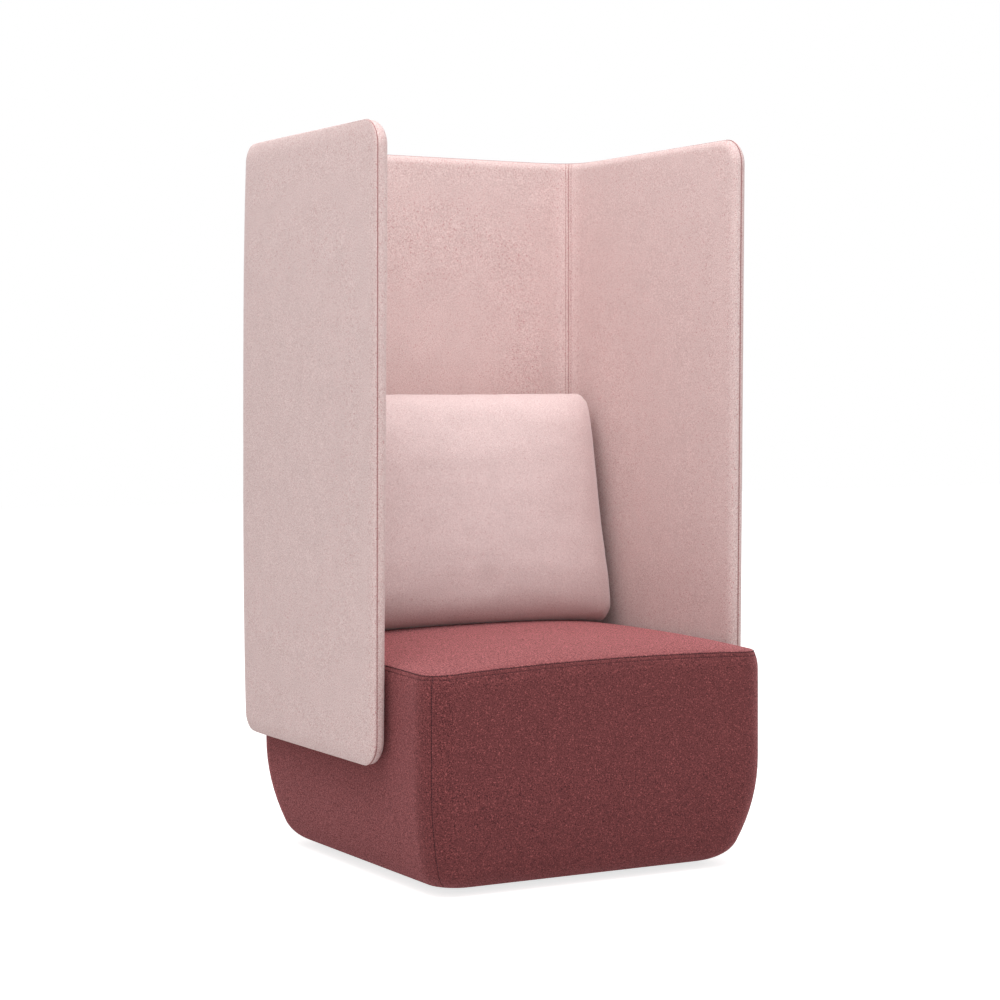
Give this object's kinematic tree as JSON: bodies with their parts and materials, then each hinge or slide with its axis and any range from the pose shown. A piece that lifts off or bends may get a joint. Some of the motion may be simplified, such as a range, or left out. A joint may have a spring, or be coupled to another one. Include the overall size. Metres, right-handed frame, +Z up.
{
  "type": "acoustic high back lounge chair",
  "caption": "Upholstered lounge seat block wrapped on its back and both sides by a tall padded screen with rounded bends, with a loose back cushion.",
  "frame": {"origin": "centre of the whole chair's bounding box in plan, on the floor plane under the felt discs", "axes": "+Z up, the chair faces -Y, +X is the chair's left-hand side seen from a person sitting in it"},
  "size_m": [0.7982, 0.754, 1.378],
  "materials": {
    "base_cloth": "woven wool, mottled burgundy",
    "screen_cloth": "woven wool, mottled light pink",
    "cushion_cloth": "smooth woven wool, light pink",
    "dust_cloth": "non-woven, black",
    "foam": "open-cell upholstery foam",
    "webbing": "elastic webbing",
    "plywood": "raw birch plywood",
    "steel": "zinc plated",
    "glide": "moulded",
    "felt": "pressed felt"
  },
  "bodies": {
    "chair": {"bottom_board": "plywood", "front_rail": "plywood", "back_rail": "plywood", "left_rail": "plywood", "right_rail": "plywood", "front_ribs": "plywood", "back_ribs": "plywood", "left_ribs": "plywood", "right_ribs": "plywood", "corner_blocks": "plywood", "frame_screws": "steel", "webbing_lengthwise": "webbing", "webbing_crosswise": "webbing", "front_side_foam": "foam", "back_side_foam": "foam", "left_side_foam": "foam", "right_side_foam": "foam", "seat_foam": "foam", "seat_wadding": "foam", "front_side_cover": "base_cloth", "back_side_cover": "base_cloth", "left_side_cover": "base_cloth", "right_side_cover": "base_cloth", "seat_cover": "base_cloth", "dust_cover": "dust_cloth", "glides": "glide", "glide_felts": "felt", "glide_screws": "steel", "screen_bolts": "steel", "screen_sleeves": "steel", "screen_tee_nuts": "steel", "back_board": "plywood", "left_wing_board": "plywood", "right_wing_board": "plywood", "left_bend_filler": "foam", "right_bend_filler": "foam", "left_bend_straps": "steel", "right_bend_straps": "steel", "strap_screws": "steel", "back_inner_foam": "foam", "left_inner_foam": "foam", "right_inner_foam": "foam", "back_outer_foam": "foam", "left_outer_foam": "foam", "right_outer_foam": "foam", "back_inner_cover": "screen_cloth", "left_inner_cover": "screen_cloth", "right_inner_cover": "screen_cloth", "back_outer_cover": "screen_cloth", "left_outer_cover": "screen_cloth", "right_outer_cover": "screen_cloth"},
    "cushion": {"cushion_front_cover": "cushion_cloth", "cushion_back_cover": "cushion_cloth", "cushion_filling": "foam"}
  },
  "joints": [
    {"name": "cushion_lift", "type": "slide", "parent": "chair", "child": "cushion", "axis": [0, 0, 1], "range_m": [0, 0.5]}
  ]
}
